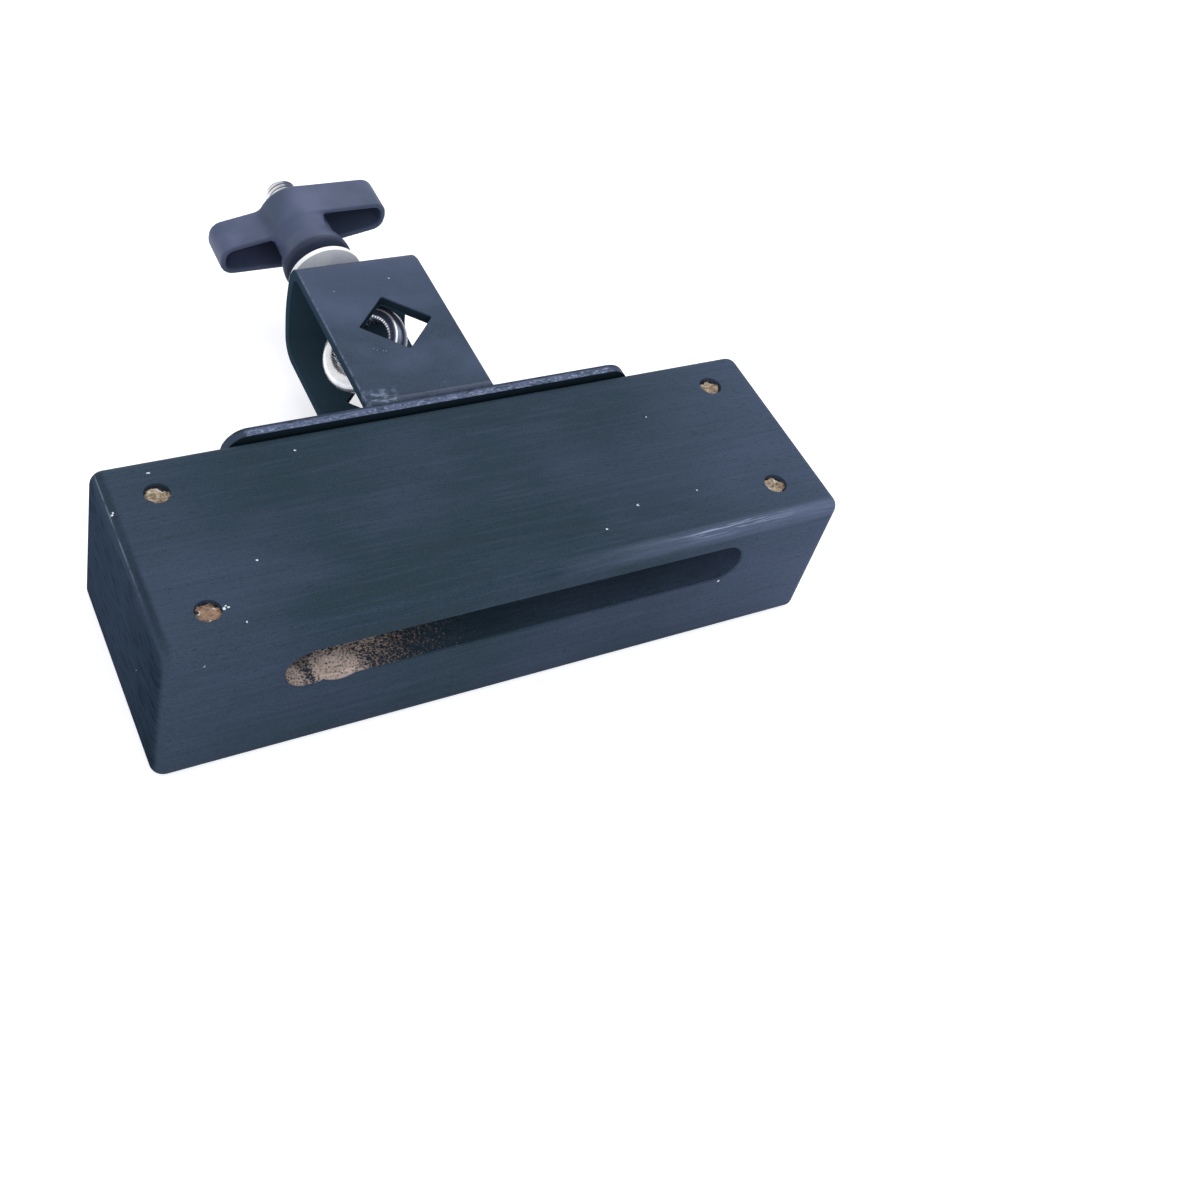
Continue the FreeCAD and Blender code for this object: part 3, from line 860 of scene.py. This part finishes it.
boltThread = {
    "pitch": 1.5,
    "crest": 4.95,
    "root": 4.05,
    "flatShare": 0.12,       # of the pitch, at the crest and at the root
    "stepsPerTurn": 36,
    "spareTurns": 2,
    "runIn": 1.5,            # pitches before the first full turn, cut off again
    "overlap": 0.05,         # of the thread into the neck
    "mergeWithin": 0.002,
    "neckEnd": 18.3,         # from the ring's centre to the first full thread
    "endChamfer": 0.9,
    "ringRadius": 13.65,
    "ringSwing": -41.7,
    "boreRadius": 9.1,
    "teeth": 60,
}


def makeThreadedBolt(material):
    thread = boltThread
    low, high = boxOf("eyebolt")
    axis = boltAxis()
    start = low.y + (thread["ringRadius"] + thread["neckEnd"]) * mm
    bm = nodeCopy("eyebolt")
    cutAlongY(bm, start, 1)
    closeOpenEnds(bm)
    ring = meshFrom(bm, "ringPart")

    bm = bmesh.new()
    pitch = thread["pitch"] * mm
    crest, root = thread["crest"] * mm, thread["root"] * mm
    flat = thread["flatShare"] * pitch
    flank = pitch / 2 - flat
    profile = [(root, 0), (root, flat), (crest, flat + flank), (crest, 2 * flat + flank), (root, pitch)]
    verts = [bm.verts.new((radius, along, 0)) for radius, along in profile]
    edges = [bm.edges.new(pair) for pair in zip(verts, verts[1:])]
    turns = math.ceil((high.y - start) / pitch) + thread["spareTurns"]
    steps = thread["stepsPerTurn"]
    bmesh.ops.spin(bm, geom=verts + edges, cent=(0, 0, 0), axis=(0, 1, 0), dvec=(0, pitch / steps, 0),
                   angle=2 * math.pi * turns, steps=steps * turns, use_merge=False)
    bmesh.ops.translate(bm, verts=bm.verts, vec=(axis.x, start - thread["runIn"] * pitch, axis.z))
    bmesh.ops.remove_doubles(bm, verts=bm.verts, dist=thread["mergeWithin"] * mm)
    cutAlongY(bm, start - thread["overlap"] * mm, -1)
    cutAlongY(bm, high.y, 1)
    closeOpenEnds(bm)
    chamfer = thread["endChamfer"] * mm
    for vert in bm.verts:
        past = vert.co.y - (high.y - chamfer)
        out = Vector((vert.co.x - axis.x, 0, vert.co.z - axis.z))
        if past > 0 and out.length > crest - past:
            out = out.normalized() * (crest - past)
            vert.co = Vector((axis.x, vert.co.y, axis.z)) + out
    bm.from_mesh(ring)
    bpy.data.meshes.remove(ring)
    sortParts(bm)
    addPiece("threaded_eyebolt", bm, material, "eyebolt", ["eyebolt"])


# the screws behind the plate, with the crown of each head rounded over

screwNames = ("screw_left_low", "screw_left_high", "screw_right_low", "screw_right_high")
screwHead = {
    "crownRound": 1.1,
    "segments": 5,
    "rimHighlightFrom": 0.95,         # of the head's radius
    "flatWithin": 1,         # degrees
}


def makeDomedScrew(name, material):
    low, high = boxOf(name)
    middle = (low + high) / 2
    radius = (high.x - low.x) / 2
    bm = nodeCopy(name)
    bmesh.ops.dissolve_limit(bm, angle_limit=math.radians(screwHead["flatWithin"]), verts=bm.verts,
                             edges=bm.edges)

    def onRim(vert):
        away = math.hypot(vert.co.x - middle.x, vert.co.z - middle.z)
        return vert.co.y > high.y - sameWithin and away > screwHead["rimHighlightFrom"] * radius

    rim = [edge for edge in bm.edges if all(onRim(vert) for vert in edge.verts)]
    bmesh.ops.bevel(bm, geom=rim, offset=screwHead["crownRound"] * mm, offset_type="OFFSET", affect="EDGES",
                    segments=screwHead["segments"], profile=0.5, material=-1)
    addPiece(name + "_domed", bm, material, "block", [name])


# the wing nut's moulded plastic, its edges rounded over

wingPlastic = {
    "body": tone(64, 76, 100),
    "haze": tone(84, 92, 122),
    "deep": tone(32, 39, 58),
    "roughness": 0.5,
    "specular": 0.2,
    "noises": {
        "clouds": ((60, 60, 60), 3.0, 0.5),
        "fine": ((1500, 1500, 1500), 3.0, 0.6),
    },
    "hazeClouds": (0.4, 0.7),
    "shadedFootFromFront": (2.4, 1.4, 0.0, 0.75),
    "bump": (0.10, 0.2),
    "voxel": 0.4,
    "smoothings": 6,
    "smoothShare": 0.5,
    "sharpFrom": 180,
}


def makeWingPlastic():
    plastic = wingPlastic
    material, tree, shader, place = startMaterial("wing_plastic", plastic)
    y = axesOf(tree, place)["Y"]
    grain = noisesOf(tree, place, plastic["noises"])
    # painted shade on the hub's front end, next to the washer
    shadedFoot = fade(tree, y, *plastic["shadedFootFromFront"], origin=boxOf("wing_nut")[0].y)
    color = over(tree, plastic["body"], plastic["haze"], ramp(tree, grain["clouds"], *plastic["hazeClouds"]))
    color = over(tree, color, plastic["deep"], shadedFoot)
    finishMaterial(tree, shader, color, grain["fine"], *plastic["bump"])
    return material


def makeSoftWingNut(material):
    plastic = wingPlastic
    holder = addObject("hardNut", meshFrom(nodeCopy("wing_nut"), "hardNut"))
    remesh = holder.modifiers.new("remesh", "REMESH")
    remesh.mode = "VOXEL"
    remesh.voxel_size = plastic["voxel"] * mm
    shaped = bpy.data.meshes.new_from_object(holder.evaluated_get(bpy.context.evaluated_depsgraph_get()))
    bpy.data.objects.remove(holder)
    bm = bmesh.new()
    bm.from_mesh(shaped)
    bpy.data.meshes.remove(shaped)
    for step in range(plastic["smoothings"]):
        bmesh.ops.smooth_vert(bm, verts=bm.verts, factor=plastic["smoothShare"],
                              use_axis_x=True, use_axis_y=True, use_axis_z=True)
    addPiece("soft_wing_nut", bm, material, "wing_nut", ["wing_nut"], plastic["sharpFrom"])


dress(["wood_block"], makePaintedWood())
dress(["mounting_plate"], makePlateSteel())
dress(["clamp_strap", "weld_lower"], makeStrapSteel())
dress(["washer"], makePlating("washer_plating", washerPlating, washerRimHighlight))
dress(["thread_insert"], makePlating("insert_plating", insertPlating))
print("materials on the frame's nodes done")

plugFinish = makePlugWood()
for plugName in plugNames:
    makePlug(plugName, plugFinish)
makeWeldSeam(makeWeldSteel())
makeSoftWingNut(makeWingPlastic())
makeThreadedBolt(makePlating("ring_plating", boltPlating, boltDetails))
screwSteel = makePlating("screw_plating", screwPlating)
for screwName in screwNames:
    makeDomedScrew(screwName, screwSteel)
print("new pieces done")


# floor, light and camera, with lengths in metres

stage = {
    "floor": (0.78, 0.79, 0.86, 1.0),
    "seenWhite": 0.58,
    "floorSize": 6.0,
    "roughness": 0.9,
    "specular": 0.0,
    "world": (1.0, 1.0, 1.0, 1.0),
    "worldStrength": 0.70,
    "lampAim": (0, 0, 0.03),
    "lamps": {
        "key": {"spot": (0.5, 0.8, 1.5), "size": 1.4, "power": 13},
        "fill": {"spot": (-0.3, -1.3, 0.9), "size": 1.2, "power": 8},
    },
}


def seenDirectly(tree):
    # 1 for what the camera sees, itself or in gloss or through glass
    ray = put(tree, "ShaderNodeLightPath").outputs
    seen = ray["Is Camera Ray"]
    for name in ("Is Glossy Ray", "Is Transmission Ray"):
        seen = maths(tree, "MAXIMUM", seen, ray[name])
    return seen


def makeFloor():
    bm = bmesh.new()
    bmesh.ops.create_grid(bm, x_segments=1, y_segments=1, size=stage["floorSize"])
    floor = addObject("floor", meshFrom(bm, "floor"))
    material, tree, shader, place = startMaterial("pale_floor", stage)
    shader.inputs["Base Color"].default_value = stage["floor"]
    glow = put(tree, "ShaderNodeEmission", {"Strength": times(tree, seenDirectly(tree), stage["seenWhite"])})
    both = put(tree, "ShaderNodeAddShader", {0: shader.outputs[0], 1: glow.outputs[0]})
    tree.links.new(both.outputs[0], tree.nodes["Material Output"].inputs["Surface"])
    floor.data.materials.append(material)


def makeLamp(name, spot, size, power):
    data = bpy.data.lights.new(name, "AREA")
    data.size = size
    data.energy = power
    lamp = addObject(name, data)
    lamp.location = spot
    lamp.rotation_euler = (Vector(stage["lampAim"]) - Vector(spot)).to_track_quat("-Z", "Y").to_euler()


def makeWorld():
    world = bpy.data.worlds.new("studio")
    bpy.context.scene.world = world
    world.use_nodes = True
    tree = world.node_tree
    background = tree.nodes["Background"]
    background.inputs["Color"].default_value = stage["world"]
    strength = ramp(tree, seenDirectly(tree), 0.0, 1.0, stage["worldStrength"], 1.0)
    tree.links.new(strength, background.inputs["Strength"])


cameraSetup = {
    "spot": (-0.17081, -0.24294, 0.34851),
    "right": (0.8594, -0.4521, 0.2388),
    "down": (-0.1716, -0.6951, -0.6982),
    "forward": (0.4816, 0.5591, -0.6749),
    "focalPixels": 1623.61,
    "centrePixel": (626.29, 433.78),
    "imagePixels": 1200,
    "sensorWidth": 36,
    "clipStart": 0.01,
}


def makeCamera():
    setup = cameraSetup
    data = bpy.data.cameras.new("camera")
    camera = addObject("camera", data)
    pixels = setup["imagePixels"]
    data.sensor_fit = "HORIZONTAL"
    data.sensor_width = setup["sensorWidth"]
    data.lens = setup["focalPixels"] / pixels * setup["sensorWidth"]
    data.shift_x = 0.5 - setup["centrePixel"][0] / pixels
    data.shift_y = setup["centrePixel"][1] / pixels - 0.5
    data.clip_start = setup["clipStart"]
    right, down, forward = (Vector(setup[key]) for key in ("right", "down", "forward"))
    turn = Matrix((right, -down, -forward)).transposed()
    camera.matrix_world = Matrix.Translation(setup["spot"]) @ turn.to_4x4()
    bpy.context.scene.camera = camera


makeFloor()
makeWorld()
for lampName, lamp in stage["lamps"].items():
    makeLamp(lampName, **lamp)
makeCamera()
bpy.context.scene.view_settings.view_transform = "Standard"
print("stage done")
